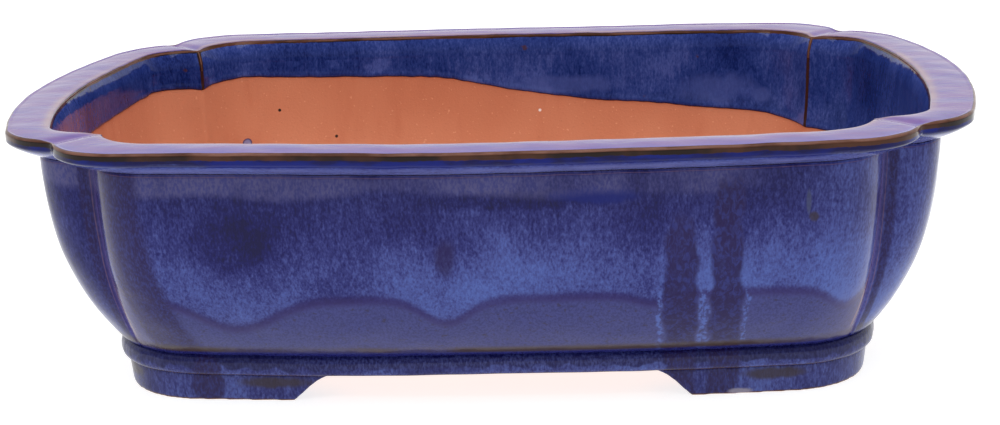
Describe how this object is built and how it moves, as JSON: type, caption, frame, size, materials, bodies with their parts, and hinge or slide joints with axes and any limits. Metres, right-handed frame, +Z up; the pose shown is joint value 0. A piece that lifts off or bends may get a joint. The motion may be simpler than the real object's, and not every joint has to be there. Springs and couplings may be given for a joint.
{
  "type": "bonsai pot",
  "caption": "Glazed lobed-rectangle bonsai pot with a flat overhanging rim, base moulding, bracket feet, drain and wire holes.",
  "frame": {"origin": "under the middle of the pot, on the plane that its feet stand on", "axes": "+X along the pot's length, +Y to the back, +Z up out of the pot's mouth"},
  "size_m": [0.4, 0.298, 0.112],
  "materials": {
    "cobalt_glaze": "gloss",
    "stoneware_clay": "matte"
  },
  "bodies": {
    "root": {"floor_slab": "stoneware_clay", "wall_front": "stoneware_clay", "wall_back": "stoneware_clay", "wall_left": "stoneware_clay", "wall_right": "stoneware_clay", "rim_front": "cobalt_glaze", "rim_back": "cobalt_glaze", "rim_left": "cobalt_glaze", "rim_right": "cobalt_glaze", "base_band_front": "cobalt_glaze", "base_band_back": "cobalt_glaze", "base_band_left": "cobalt_glaze", "base_band_right": "cobalt_glaze", "foot_front_left": "cobalt_glaze", "foot_front_right": "cobalt_glaze", "foot_back_left": "cobalt_glaze", "foot_back_right": "cobalt_glaze", "outer_glaze_front": "cobalt_glaze", "outer_glaze_back": "cobalt_glaze", "outer_glaze_left": "cobalt_glaze", "outer_glaze_right": "cobalt_glaze", "inner_glaze_front": "cobalt_glaze", "inner_glaze_back": "cobalt_glaze", "inner_glaze_left": "cobalt_glaze", "inner_glaze_right": "cobalt_glaze"}
  },
  "joints": []
}
